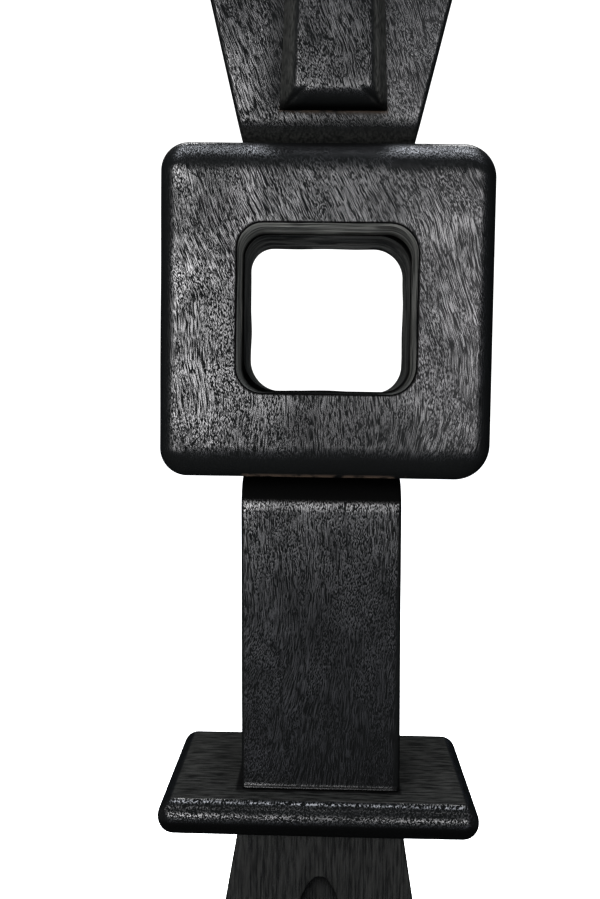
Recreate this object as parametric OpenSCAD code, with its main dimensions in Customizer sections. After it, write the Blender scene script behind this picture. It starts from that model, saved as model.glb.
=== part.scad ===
// Carved ancestor figure: a stack of black-stained hardwood blocks, pinned with dowels.
// Origin: on the floor, under the middle of the figure. +Z is up and the face looks along -Y.

/* [Whole figure] */
// Width of the ring and of the top of the head
figure_w = 160; // [145:1:175]
// Depth of the head, waist and leg blocks, front to back
body_d = 66; // [56:1:80]
// Gap between a dowel and its bore, filled with glue
glue_gap = 0.1; // [0.05:0.05:0.2]

/* [Feet] */
// Thickness of a felt pad
pad_t = 2; // [1:0.5:4]
// Diameter of a felt pad
pad_dia = 18; // [12:1:22]

/* [Legs] */
// Height of the leg block
leg_h = 180; // [165:1:200]
// Width of the leg block under the hip plate
leg_top_w = 82.5; // [76:0.5:90]
// Width of the leg block at the floor
leg_bottom_w = 142; // [130:1:156]
// Sideways offset of the leg block, as set by hand
leg_shift = 1; // [0:0.5:2]
// Height of the arched niche between the legs
niche_h = 153; // [130:1:157]
// Width of the niche at the floor
niche_w = 67; // [50:1:72]
// Depth of the niche
niche_d = 12; // [8:1:16]

/* [Hip plate] */
// Width of the hip plate
plate_w = 159; // [150:1:170]
// Depth of the hip plate
plate_d = 104; // [96:1:112]
// Thickness of the hip plate
plate_t = 18.5; // [17:0.5:22]
// Radius of the plate's rounded edges and corners
plate_edge_r = 8; // [5:0.5:8]

/* [Waist post] */
// Height of the waist post
post_h = 159.5; // [145:0.5:175]
// Width of the waist post
post_w = 79.5; // [74:0.5:86]
// Radius of the post's top edges, front and back
post_edge_r = 8.5; // [4:0.5:12]

/* [Ring] */
// Height of the ring
ring_h = 160; // [150:1:170]
// Depth of the front board
front_board_d = 34; // [30:1:40]
// Depth of the back board
back_board_d = 58; // [50:1:62]
// How far the ring's front stands in front of the blocks above and below
ring_proud = 17; // [12:1:20]
// Width of the window
window_w = 85; // [76:1:88]
// Height of the window
window_h = 79; // [72:1:82]
// Height of the wood under the window
window_sill_h = 41.5; // [40:0.5:43]
// Radius of the window's corners
window_r = 12; // [6:1:16]
// Radius of the ring's outer corners
ring_corner_r = 15; // [12:1:20]
// Radius of the ring's rounded front and back edges
ring_edge_r = 9.5; // [4:0.5:11]

/* [Head] */
// Height of the head
head_h = 160; // [150:1:175]
// Width of the head at the neck
neck_w = 82; // [76:0.5:88]
// Radius of the head's bottom and top edges, front and back
head_edge_r = 10; // [4:0.5:12]
// Width of the nose at its foot
nose_w = 53; // [46:1:56]
// Width of the nose at its top
nose_top_w = 46; // [36:1:48]
// Length of the nose
nose_l = 94; // [80:1:100]
// How far the nose stands out of the face
nose_out = 14; // [12:1:16]
// Height of the nose's foot above the ring
nose_lift = 18.6; // [16:0.2:22]
// Sideways offset of the nose, as set by hand
nose_shift = 2; // [0:0.5:3]
// Radius of the nose's rounded edges
nose_edge_r = 8; // [5:0.5:10]
// Width of a carved eye slit
eye_w = 24; // [18:1:26]
// Thickness of a carved eye slit
eye_t = 4; // [2:0.5:5]
// Depth of a carved eye slit
eye_d = 3; // [2:0.5:4]

/* [Dowels] */
// Diameter of the dowels that hold the stack together
dowel_dia = 16; // [12:1:18]
// How deep a stack dowel goes into each block
dowel_in = 32; // [26:1:34]
// Distance from the middle of the figure to a stack dowel
dowel_x = 21; // [18:1:24]
// Diameter of the pins between the ring's two boards
board_pin_dia = 10; // [8:1:12]
// How deep a board pin goes into each board
board_pin_in = 18; // [12:1:20]
// Diameter of the pins behind the nose
nose_pin_dia = 6; // [5:1:8]
// How deep a nose pin goes into the nose and into the head
nose_pin_in = 9; // [7:1:9]

/* [Hidden] */
$fn = 96;
HULL_FN = 32;

// Every block's underside
leg_z = pad_t;
plate_z = leg_z + leg_h;
post_z = plate_z + plate_t;
ring_z = post_z + post_h;
head_z = ring_z + ring_h;

// Planes along Y
face_y = -body_d / 2;
ring_front_y = face_y - ring_proud;
board_joint_y = ring_front_y + front_board_d;

// A bore is a little deeper than the dowel that it holds
bore_spare = 1;
// A cutter passes the surface that it opens by this much
over = 1;
// The least width of a shape that would otherwise have none
sliver = 0.01;

// Middle of the ring, and the middle of its borders, where the board pins sit
ring_mid_z = ring_z + ring_h / 2;
pin_x = (figure_w + window_w) / 4;
pin_z = (ring_h + window_h) / 4;

// Nose pins stand this far from the nose's two ends
nose_z = head_z + nose_lift;
nose_pin_inset = 22;
nose_pin_lower_z = nose_z + nose_pin_inset;
nose_pin_upper_z = nose_z + nose_l - nose_pin_inset;

// Eyes, half way from the nose to the head's sides
eye_up = 0.6;
eye_z = head_z + eye_up * head_h;
half_w_at_eyes = (neck_w + eye_up * (figure_w - neck_w)) / 2;
eye_x = (half_w_at_eyes + nose_top_w / 2) / 2;

// Middle of a felt pad, under the solid part of a leg and clear of its edges
pad_inset = 4;
pad_x = (leg_bottom_w + niche_w) / 4;
pad_y = (body_d - pad_dia) / 2 - pad_inset;

BLACK = [0.07, 0.07, 0.08];
BARE_WOOD = [0.66, 0.50, 0.33];
FELT = [0.16, 0.15, 0.14];

// ---- shared shapes ----

// A rectangle from x = -w/2 to w/2 and y = 0 to h, with its four corners rounded
module rounded_rectangle(w, h, r) {
    translate([-w / 2 + r, 0]) square([w - 2 * r, h]);
    translate([-w / 2, r]) square([w, h - 2 * r]);
    for (x = [-w / 2 + r, w / 2 - r], y = [r, h - r]) translate([x, y]) circle(r);
}

// The same with only its two upper corners rounded
module rectangle_round_on_top(w, h, r) {
    translate([-w / 2, 0]) square([w, h - r]);
    translate([-w / 2 + r, 0]) square([w - 2 * r, h]);
    for (x = [-w / 2 + r, w / 2 - r]) translate([x, h - r]) circle(r);
}

// Stands an outline drawn in X and Z upright, d deep from front_y backwards
module upright(front_y, d) {
    translate([0, front_y + d, 0]) rotate([90, 0, 0]) linear_extrude(height = d) children();
}

// Sweeps an outline drawn in Y and Z sideways, w wide about X = 0
module sideways(w) {
    translate([-w / 2, 0, 0]) rotate([90, 0, 90]) linear_extrude(height = w) children();
}

// A round post of radius r and height h whose top edge is rounded by edge_r
module domed_post(r, h, edge_r) {
    rotate_extrude($fn = HULL_FN) {
        square([r, h - edge_r]);
        square([max(r - edge_r, sliver), h]);
        translate([r - edge_r, h - edge_r]) intersection() {
            circle(edge_r, $fn = HULL_FN);
            square(edge_r);
        }
    }
}

// A square board face up, w by h and d thick, with round corners and a round top edge
module rounded_board(w, h, d, corner_r, edge_r) {
    hull() for (x = [-w / 2 + corner_r, w / 2 - corner_r], y = [-h / 2 + corner_r, h / 2 - corner_r])
        translate([x, y, 0]) domed_post(corner_r, d, edge_r);
}

// A dowel, or its bore, that crosses the joint at height z
module stack_dowel(side, z, below, above, r) {
    translate([side * dowel_x, 0, z - below]) cylinder(h = below + above, r = r);
}

// The two bores of the joint at height z
module stack_bores(z, below, above) {
    for (side = [-1, 1])
        stack_dowel(side, z, below + bore_spare, above + bore_spare, dowel_dia / 2 + glue_gap);
}

// A pin along Y, from y0 to y1
module pin_along_y(x, z, y0, y1, r) {
    translate([x, y1, z]) rotate([90, 0, 0]) cylinder(h = y1 - y0, r = r);
}

// ---- the blocks ----

module head_block() {
    color(BLACK) difference() {
        intersection() {
            upright(face_y, body_d) polygon([
                [-neck_w / 2, head_z], [neck_w / 2, head_z],
                [figure_w / 2, head_z + head_h], [-figure_w / 2, head_z + head_h]]);
            sideways(figure_w) translate([0, head_z])
                rounded_rectangle(body_d, head_h, head_edge_r);
        }
        for (side = [-1, 1]) eye_slit(side);
        stack_bores(head_z, 0, dowel_in);
        for (z = [nose_pin_lower_z, nose_pin_upper_z])
            pin_along_y(nose_shift, z, face_y - over, face_y + nose_pin_in + bore_spare,
                        nose_pin_dia / 2 + glue_gap);
    }
}

// A narrow closed eye with round ends, cut into the face
module eye_slit(side) {
    upright(face_y - over, eye_d + over) translate([side * eye_x - eye_w / 2, eye_z]) {
        translate([eye_t / 2, -eye_t / 2]) square([eye_w - eye_t, eye_t]);
        for (x = [eye_t / 2, eye_w - eye_t / 2]) translate([x, 0]) circle(eye_t / 2);
    }
}

// The nose tapers upwards, and its back lies on the face
module nose_block() {
    foot_x = nose_w / 2 - nose_edge_r;
    top_x = nose_top_w / 2 - nose_edge_r;
    color(BLACK) difference() {
        translate([nose_shift, face_y, nose_z]) rotate([90, 0, 0]) hull() for (side = [-1, 1]) {
            translate([side * foot_x, nose_edge_r, 0])
                domed_post(nose_edge_r, nose_out, nose_edge_r);
            translate([side * top_x, nose_l - nose_edge_r, 0])
                domed_post(nose_edge_r, nose_out, nose_edge_r);
        }
        for (z = [nose_pin_lower_z, nose_pin_upper_z])
            pin_along_y(nose_shift, z, face_y - nose_pin_in - bore_spare, face_y + over,
                        nose_pin_dia / 2 + glue_gap);
    }
}

// The window goes through both boards of the ring
module window(front_y, d) {
    upright(front_y - over, d + 2 * over) translate([0, ring_z + window_sill_h])
        rounded_rectangle(window_w, window_h, window_r);
}

// The four pins, or their bores, between the ring's two boards
module board_pins(y0, y1, r) {
    for (x = [-pin_x, pin_x], z = [-pin_z, pin_z]) pin_along_y(x, ring_mid_z + z, y0, y1, r);
}

module ring_front_board() {
    color(BLACK) difference() {
        translate([0, board_joint_y, ring_mid_z]) rotate([90, 0, 0])
            rounded_board(figure_w, ring_h, front_board_d, ring_corner_r, ring_edge_r);
        window(ring_front_y, front_board_d);
        board_pins(board_joint_y - board_pin_in - bore_spare, board_joint_y + over,
                   board_pin_dia / 2 + glue_gap);
    }
}

module ring_back_board() {
    color(BLACK) difference() {
        translate([0, board_joint_y, ring_mid_z]) rotate([-90, 0, 0])
            rounded_board(figure_w, ring_h, back_board_d, ring_corner_r, ring_edge_r);
        window(board_joint_y, back_board_d);
        board_pins(board_joint_y - over, board_joint_y + board_pin_in + bore_spare,
                   board_pin_dia / 2 + glue_gap);
        stack_bores(ring_z, 0, dowel_in);
        stack_bores(head_z, dowel_in, 0);
    }
}

module waist_post() {
    color(BLACK) difference() {
        sideways(post_w) translate([0, post_z])
            rectangle_round_on_top(body_d, post_h, post_edge_r);
        stack_bores(ring_z, dowel_in, 0);
        stack_bores(post_z, 0, dowel_in);
    }
}

// The hip plate has a bullnose edge all round, and its corners are rounded in plan
module hip_plate() {
    color(BLACK) difference() {
        intersection() {
            sideways(plate_w) translate([0, plate_z])
                rounded_rectangle(plate_d, plate_t, plate_edge_r);
            upright(-plate_d / 2, plate_d) translate([0, plate_z])
                rounded_rectangle(plate_w, plate_t, plate_edge_r);
            translate([0, -plate_d / 2, plate_z]) linear_extrude(height = plate_t)
                rounded_rectangle(plate_w, plate_d, plate_edge_r);
        }
        stack_bores(post_z, plate_t, 0);
    }
}

// The arch is a parabola that stands on the floor
module niche_outline() {
    steps = 16;
    polygon([for (i = [-steps:steps]) let (u = i / steps)
        [u * niche_w / 2, leg_z - over + (niche_h + over) * (1 - u * u)]]);
}

module leg_block() {
    color(BLACK) difference() {
        translate([leg_shift, 0, 0]) difference() {
            upright(face_y, body_d) polygon([
                [-leg_bottom_w / 2, leg_z], [leg_bottom_w / 2, leg_z],
                [leg_top_w / 2, leg_z + leg_h], [-leg_top_w / 2, leg_z + leg_h]]);
            upright(face_y - over, niche_d + over) niche_outline();
        }
        stack_bores(plate_z, dowel_in, 0);
    }
}

// ---- dowels, pins and pads ----

module neck_dowel(side) {
    color(BARE_WOOD) stack_dowel(side, head_z, dowel_in, dowel_in, dowel_dia / 2);
}

module waist_dowel(side) {
    color(BARE_WOOD) stack_dowel(side, ring_z, dowel_in, dowel_in, dowel_dia / 2);
}

// A hip dowel goes right through the plate, from the post into the legs
module hip_dowel(side) {
    color(BARE_WOOD) stack_dowel(side, plate_z, dowel_in, plate_t + dowel_in, dowel_dia / 2);
}

module nose_pin(z) {
    color(BARE_WOOD)
        pin_along_y(nose_shift, z, face_y - nose_pin_in, face_y + nose_pin_in, nose_pin_dia / 2);
}

module ring_pin(x_side, z_side) {
    color(BARE_WOOD) pin_along_y(x_side * pin_x, ring_mid_z + z_side * pin_z,
        board_joint_y - board_pin_in, board_joint_y + board_pin_in, board_pin_dia / 2);
}

module felt_pad(x_side, y_side) {
    color(FELT) translate([leg_shift + x_side * pad_x, y_side * pad_y, 0])
        cylinder(h = pad_t, r = pad_dia / 2);
}

head_block();
nose_block();
ring_front_board();
ring_back_board();
waist_post();
hip_plate();
leg_block();
neck_dowel(-1);  // neck_dowel_left
neck_dowel(1);  // neck_dowel_right
waist_dowel(-1);  // waist_dowel_left
waist_dowel(1);  // waist_dowel_right
hip_dowel(-1);  // hip_dowel_left
hip_dowel(1);  // hip_dowel_right
nose_pin(nose_pin_lower_z);  // nose_pin_lower
nose_pin(nose_pin_upper_z);  // nose_pin_upper
ring_pin(-1, 1);  // ring_pin_top_left
ring_pin(1, 1);  // ring_pin_top_right
ring_pin(-1, -1);  // ring_pin_bottom_left
ring_pin(1, -1);  // ring_pin_bottom_right
felt_pad(-1, -1);  // felt_pad_front_left
felt_pad(1, -1);  // felt_pad_front_right
felt_pad(-1, 1);  // felt_pad_back_left
felt_pad(1, 1);  // felt_pad_back_right
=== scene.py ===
"""Carved ancestor figure: the looks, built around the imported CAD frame.

Black-stained hardwood blocks with an open, interlocked grain, under soft studio light.
Lengths are in metres, but the grain is laid out in millimetres. The frame's boxes place every piece.
"""

import math

import bmesh
import bpy
import numpy as np
from mathutils import Matrix, Vector


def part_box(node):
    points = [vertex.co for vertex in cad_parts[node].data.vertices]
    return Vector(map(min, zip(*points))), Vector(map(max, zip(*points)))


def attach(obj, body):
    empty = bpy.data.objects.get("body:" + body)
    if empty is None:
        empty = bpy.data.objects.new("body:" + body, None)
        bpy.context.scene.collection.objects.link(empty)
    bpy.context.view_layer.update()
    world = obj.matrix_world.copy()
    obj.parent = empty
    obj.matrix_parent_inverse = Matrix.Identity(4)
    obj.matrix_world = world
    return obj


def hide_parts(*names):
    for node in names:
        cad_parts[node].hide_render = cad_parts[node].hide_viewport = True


MM = 0.001

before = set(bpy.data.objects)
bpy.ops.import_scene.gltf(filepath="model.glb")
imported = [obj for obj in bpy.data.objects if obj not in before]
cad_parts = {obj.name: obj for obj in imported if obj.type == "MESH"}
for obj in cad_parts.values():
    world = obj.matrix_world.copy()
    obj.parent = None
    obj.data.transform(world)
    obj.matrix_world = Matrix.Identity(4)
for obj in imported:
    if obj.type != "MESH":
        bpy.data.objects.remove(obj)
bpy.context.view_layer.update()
BODY = "root"

HEAD_LO, HEAD_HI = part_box("head_block")
NOSE_LO, NOSE_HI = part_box("nose_block")
FRONT_LO, FRONT_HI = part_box("ring_front_board")
BACK_LO, BACK_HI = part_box("ring_back_board")
POST_LO, POST_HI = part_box("waist_post")
PLATE_LO, PLATE_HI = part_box("hip_plate")
LEG_LO, LEG_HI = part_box("leg_block")
RING_MID_Z = (FRONT_LO.z + FRONT_HI.z) / 2
NOSE_MID_X = (NOSE_LO.x + NOSE_HI.x) / 2
NOSE_DEPTH = NOSE_HI.y - NOSE_LO.y
NOSE_FOOT = NOSE_LO.z - 1.5 * MM  # its rounded foot comes down a little below the box
LEG_MID_X = (LEG_LO.x + LEG_HI.x) / 2


# ---------------------------------------------------------------- small tools


def soft_noise(points, size, seed):
    """Smooth noise from -1 to 1 at each point, with features about `size` metres across."""
    cells = 32
    offset = 1000.0
    table = np.random.default_rng(seed).uniform(-1, 1, (cells, cells, cells))
    scaled = points / size + offset
    whole = np.floor(scaled).astype(int)
    part = scaled - whole
    part = part * part * (3 - 2 * part)
    total = np.zeros(len(points))
    for corner in range(8):
        step = np.array([corner & 1, corner >> 1 & 1, corner >> 2 & 1])
        weight = np.prod(np.where(step, part, 1 - part), axis=1)
        at = (whole + step) % cells
        total += weight * table[at[:, 0], at[:, 1], at[:, 2]]
    return total


def get_points(mesh):
    found = np.empty(len(mesh.vertices) * 3)
    mesh.vertices.foreach_get("co", found)
    return found.reshape(-1, 3)


def get_normals(mesh):
    found = np.empty(len(mesh.vertices) * 3)
    mesh.vertices.foreach_get("normal", found)
    return found.reshape(-1, 3)


def set_points(mesh, points):
    mesh.vertices.foreach_set("co", points.astype(np.float32).ravel())
    mesh.update()


def smooth_step(value, low, high):
    """Goes smoothly from 0 at `low` to 1 at `high`."""
    t = np.clip((value - low) / (high - low), 0, 1)
    return t * t * (3 - 2 * t)


# What a hand plane and a rasp leave: the size of each kind of unevenness, and its share
WAVES = (38 * MM, 0.62)
FLATS = (9 * MM, 0.28)
RIPPLE = (3.4 * MM, 0.10)
HAND_DEPTH = 0.14 * MM


def hand_finish(mesh, seed, depth=HAND_DEPTH):
    """Works a mesh over as a hand plane and a rasp do: long soft waves and shorter flats."""
    points = get_points(mesh)
    normals = get_normals(mesh)
    along_grain = points * np.array([1, 1, 0.35])
    waves = WAVES[1] * soft_noise(points, WAVES[0], seed)
    flats = FLATS[1] * soft_noise(along_grain, FLATS[0], seed + 1)
    ripple = RIPPLE[1] * soft_noise(along_grain, RIPPLE[0], seed + 2)
    lift = depth * (waves + flats + ripple)
    set_points(mesh, points + normals * (lift - depth)[:, None])


def blend_places(x, z, places, reach):
    """Blends the values of `places`, each (x, z, value, value...) in millimetres, so that every
    point takes after the nearest. Gives one row for each value."""
    softness = 0.15
    weights = []
    for place in places:
        away = (x - place[0]) ** 2 + (z - place[1]) ** 2
        weights.append(1 / (away / reach ** 2 + softness) ** 2)
    weights = np.array(weights)
    weights /= weights.sum(axis=0)
    return np.array([place[2:] for place in places]).T @ weights


def fibre_grid(low, high, leans, reach, seed):
    """How far each node of a grid over the front lies across and along the fibres.

    The leans give the fibres' direction at each node. The two distances are the ones whose slopes
    follow those directions best, so the fibres bend and crowd together but never break."""
    step = 4.0  # millimetres
    swirl_size = 24  # millimetres
    swirl_turn = 6  # degrees
    xs, zs = (np.arange(low[i] - step, high[i] + 2 * step, step) for i in (0, 1))
    x, z = (grid.ravel() for grid in np.meshgrid(xs, zs, indexing="ij"))
    swirl = soft_noise(np.stack([x, 0 * x, z], axis=1), swirl_size, seed)
    angle = np.radians(blend_places(x, z, leans, reach)[0] + swirl_turn * swirl)
    slopes = (np.stack([np.cos(angle), -np.sin(angle)], axis=1),
              np.stack([np.sin(angle), np.cos(angle)], axis=1))
    number = np.arange(len(x)).reshape(len(xs), len(zs))
    neighbours = ((number[:-1].ravel(), number[1:].ravel()),
                  (number[:, :-1].ravel(), number[:, 1:].ravel()))
    system = np.zeros((len(x), len(x)))
    wanted = np.zeros((len(x), 2))
    for slope, (here, there) in zip(slopes, neighbours):
        rise = step * (slope[here] + slope[there]) / 2
        np.add.at(system, (here, here), 1)
        np.add.at(system, (there, there), 1)
        np.add.at(system, (here, there), -1)
        np.add.at(system, (there, here), -1)
        np.add.at(wanted, here, -rise)
        np.add.at(wanted, there, rise)
    system[0, 0] += 1
    return xs, zs, np.linalg.solve(system, wanted).reshape(len(xs), len(zs), 2)


def between_nodes(xs, zs, grid, x, z):
    """Reads a grid of values at points between its nodes."""
    step = xs[1] - xs[0]
    across = (x - xs[0]) / step
    along = (z - zs[0]) / step
    i = across.astype(int)
    j = along.astype(int)
    u = (across - i)[:, None]
    v = (along - j)[:, None]
    left = grid[i, j] * (1 - v) + grid[i, j + 1] * v
    right = grid[i + 1, j] * (1 - v) + grid[i + 1, j + 1] * v
    return left * (1 - u) + right * u


def steer_grain(mesh, leans, reach, seed, upright=2, coarse=1, **surface):
    """Writes the attributes that steer the black wood on a mesh.

    `leans` lists places on the front, each as (x, z, lean, long, wax) in millimetres and degrees:
    the fibres' lean to the left, how drawn out they are, and how much wax is left; the wax is also
    raised and lowered to paint part of the light. `surface` gives `dull`, `missed` (less
    wax, real in some places and painted shade in others), `pooled` (thick stain, and black
    painted in as shade), `bare` and `fill` where they are not 0. A board whose fibres run along Y is
    given as `upright=1`, and one whose grain is bigger has `coarse` above 1."""
    points = get_points(mesh) / MM
    normals = get_normals(mesh)
    x = points[:, 0]
    z = points[:, upright]
    through = points[:, 3 - upright]
    grid = fibre_grid((x.min(), z.min()), (x.max(), z.max()), leans, reach, seed)
    fibres = between_nodes(*grid, x, z)
    _, drawn_out, wax = blend_places(x, z, leans, reach)
    # Painted shade: the wax film, and the lighter colour it gives, is taken off the undersides and the
    # turned edges, which the lamps leave dark, but kept on the flat sides
    reached_and_lit = 1 - smooth_step(-normals[:, 2], 0.20, 0.75)
    turned_left = smooth_step(-normals[:, 0], 0.0, 0.42)
    turned_right = smooth_step(normals[:, 0], 0.1, 0.65)
    flat_side = smooth_step(abs(normals[:, 0]), 0.97, 0.995)
    reached_and_lit *= 1 - 0.89 * np.maximum(turned_left, turned_right) * (1 - flat_side)
    reached_and_lit *= 1 - surface.get("missed", 0)
    values = {
        "long": drawn_out,
        "wax_and_light": wax * reached_and_lit,
        "fill": surface.get("fill", 0),
        "dull": surface.get("dull", 0),
        "pooled": surface.get("pooled", 0),
        "bare": surface.get("bare", 0),
    }
    for name, value in values.items():
        attribute = mesh.attributes.new(name, "FLOAT", "POINT")
        attribute.data.foreach_set("value", np.broadcast_to(value, len(points)).astype(np.float32))
    attribute = mesh.attributes.new("fibre", "FLOAT_VECTOR", "POINT")
    spots = np.stack([fibres[:, 0], through, fibres[:, 1]], axis=1)
    attribute.data.foreach_set("vector", (spots / coarse).astype(np.float32).ravel())


def add_piece(name, mesh, material, slot, *nodes):
    """Puts a finished mesh in the scene as a piece that stands for its CAD nodes."""
    for polygon in mesh.polygons:
        polygon.use_smooth = True
    mesh.name = name
    mesh.materials.clear()
    mesh.materials.append(material)
    piece = bpy.data.objects.new(name, mesh)
    bpy.context.collection.objects.link(piece)
    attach(piece, BODY)
    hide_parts(*nodes)


def mesh_from(points, faces):
    mesh = bpy.data.meshes.new("made")
    mesh.from_pydata([tuple(p) for p in points], [], faces)
    mesh.validate()
    mesh.update()
    return mesh


# ---------------------------------------------------------------- blocks

VOXEL = 1.1 * MM


def wedge(bottom_w, top_w, lo, hi):
    """A block between two heights, with its own width at each, in a new bmesh."""
    made = bmesh.new()
    mid = (lo.x + hi.x) / 2
    corners = []
    for z, width in ((lo.z, bottom_w), (hi.z, top_w)):
        for x, y in ((-1, lo.y), (1, lo.y), (1, hi.y), (-1, hi.y)):
            corners.append(made.verts.new((mid + x * width / 2, y, z)))
    for face in ((3, 2, 1, 0), (4, 5, 6, 7), (0, 1, 5, 4), (1, 2, 6, 5), (2, 3, 7, 6), (3, 0, 4, 7)):
        made.faces.new([corners[i] for i in face])
    return made


def round_edges(made, chosen, radius, segments=8):
    """Rounds the edges that `chosen`, given an edge's direction and middle, says yes to."""
    picked = []
    for edge in made.edges:
        a, b = (v.co for v in edge.verts)
        if chosen((b - a).normalized(), (a + b) / 2):
            picked.append(edge)
    bmesh.ops.bevel(made, geom=picked, offset=radius, segments=segments, profile=0.5, affect="EDGES")


def round_sides(made, radius):
    """Rounds every edge round the two side faces."""
    picked = {e for f in made.faces if abs(f.normal.x) > 0.9 for e in f.edges}
    bmesh.ops.bevel(made, geom=list(picked), offset=radius, segments=4, profile=0.5, affect="EDGES")


def as_object(made):
    mesh = bpy.data.meshes.new("master")
    made.normal_update()
    made.to_mesh(mesh)
    made.free()
    master = bpy.data.objects.new("master", mesh)
    bpy.context.collection.objects.link(master)
    return master


def even_mesh(master, voxel, cutters=()):
    """Cuts a master, gives it an even quad mesh, and removes the master and its cutters."""
    for cutter in cutters:
        cut = master.modifiers.new("cut", "BOOLEAN")
        cut.operation = "DIFFERENCE"
        cut.solver = "EXACT"
        cut.object = cutter
    remesh = master.modifiers.new("even", "REMESH")
    remesh.mode = "VOXEL"
    remesh.voxel_size = voxel
    soften = master.modifiers.new("soften", "SMOOTH")
    soften.factor = 0.5
    soften.iterations = 2
    graph = bpy.context.evaluated_depsgraph_get()
    mesh = bpy.data.meshes.new_from_object(master.evaluated_get(graph), depsgraph=graph)
    for used in (master, *cutters):
        bpy.data.objects.remove(used)
    return mesh


# ---------------------------------------------------------------- grain material


class Nodes:
    """Short names for building a node tree."""

    def __init__(self, material):
        material.use_nodes = True
        self.tree = material.node_tree
        self.tree.nodes.clear()

    def add(self, kind, **values):
        node = self.tree.nodes.new("ShaderNode" + kind)
        for name, value in values.items():
            setattr(node, name, value)
        return node

    def link(self, source, target):
        self.tree.links.new(source, target)

    def put(self, socket, value):
        if isinstance(value, bpy.types.NodeSocket):
            self.link(value, socket)
        else:
            socket.default_value = value

    def math(self, operation, *inputs, clamp=False):
        node = self.add("Math", operation=operation, use_clamp=clamp)
        for socket, value in zip(node.inputs, inputs):
            self.put(socket, value)
        return node.outputs[0]

    def vector(self, operation, *inputs):
        node = self.add("VectorMath", operation=operation)
        for socket, value in zip(node.inputs, inputs):
            self.put(socket, value)
        return node.outputs[0]

    def scaled(self, vector, by):
        node = self.add("VectorMath", operation="SCALE")
        self.link(vector, node.inputs[0])
        self.put(node.inputs["Scale"], by)
        return node.outputs[0]

    def stretched(self, point, sizes):
        """The point squeezed so that one unit of noise has the given size along each axis."""
        squeeze = self.add("Mapping", vector_type="POINT")
        self.link(point, squeeze.inputs["Vector"])
        squeeze.inputs["Scale"].default_value = [1 / size for size in sizes]
        return squeeze.outputs[0]

    def attribute(self, name, output="Fac"):
        return self.add("Attribute", attribute_name=name).outputs[output]

    def noise(self, vector, scale, detail=1.0, roughness=0.5):
        node = self.add("TexNoise")
        self.link(vector, node.inputs["Vector"])
        node.inputs["Scale"].default_value = scale
        node.inputs["Detail"].default_value = detail
        node.inputs["Roughness"].default_value = roughness
        return node

    def ramp(self, value, low, high, to_low=0.0, to_high=1.0):
        node = self.add("MapRange", interpolation_type="SMOOTHSTEP")
        for socket, given in zip(node.inputs, (value, low, high, to_low, to_high)):
            self.put(socket, given)
        return node.outputs[0]

    def mix(self, factor, first, second):
        """Mixes two colours, which a mix node takes as its inputs 6 and 7."""
        node = self.add("Mix", data_type="RGBA")
        self.put(node.inputs["Factor"], factor)
        self.put(node.inputs[6], first)
        self.put(node.inputs[7], second)
        return node.outputs[2]

    def blend(self, factor, first, second):
        """Mixes two numbers, which a mix node takes as its inputs 2 and 3."""
        node = self.add("Mix", data_type="FLOAT")
        self.put(node.inputs["Factor"], factor)
        self.put(node.inputs[2], first)
        self.put(node.inputs[3], second)
        return node.outputs[0]


# Sizes of the grain's features across, through and along the fibres, in millimetres
CELLS = (0.35, 0.35, 1.4)
LINES = (0.31, 0.31, 7.5)
RIBBONS = (8.0, 8.0, 26.0)
VESSELS = (0.34, 0.34, 18.0)
FIBRE_WANDER = 1.6
TOOL_MARKS = (1.6, 26.0, 26.0)

PORE_BLACK = (0.0016, 0.0018, 0.0018, 1)
WAXED_BLACK = (0.0055, 0.0055, 0.0059, 1)
SMOOTH_DARK = (0.0022, 0.0023, 0.0021)
SMOOTH_LIGHT = (0.0160, 0.0161, 0.0150)
BARE_BROWN = (0.021, 0.0155, 0.0118, 1)
# The pooled black is also painted in as shade
POOLED_AND_SHADE_BLACK = (0.0002, 0.0002, 0.0002, 1)


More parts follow.
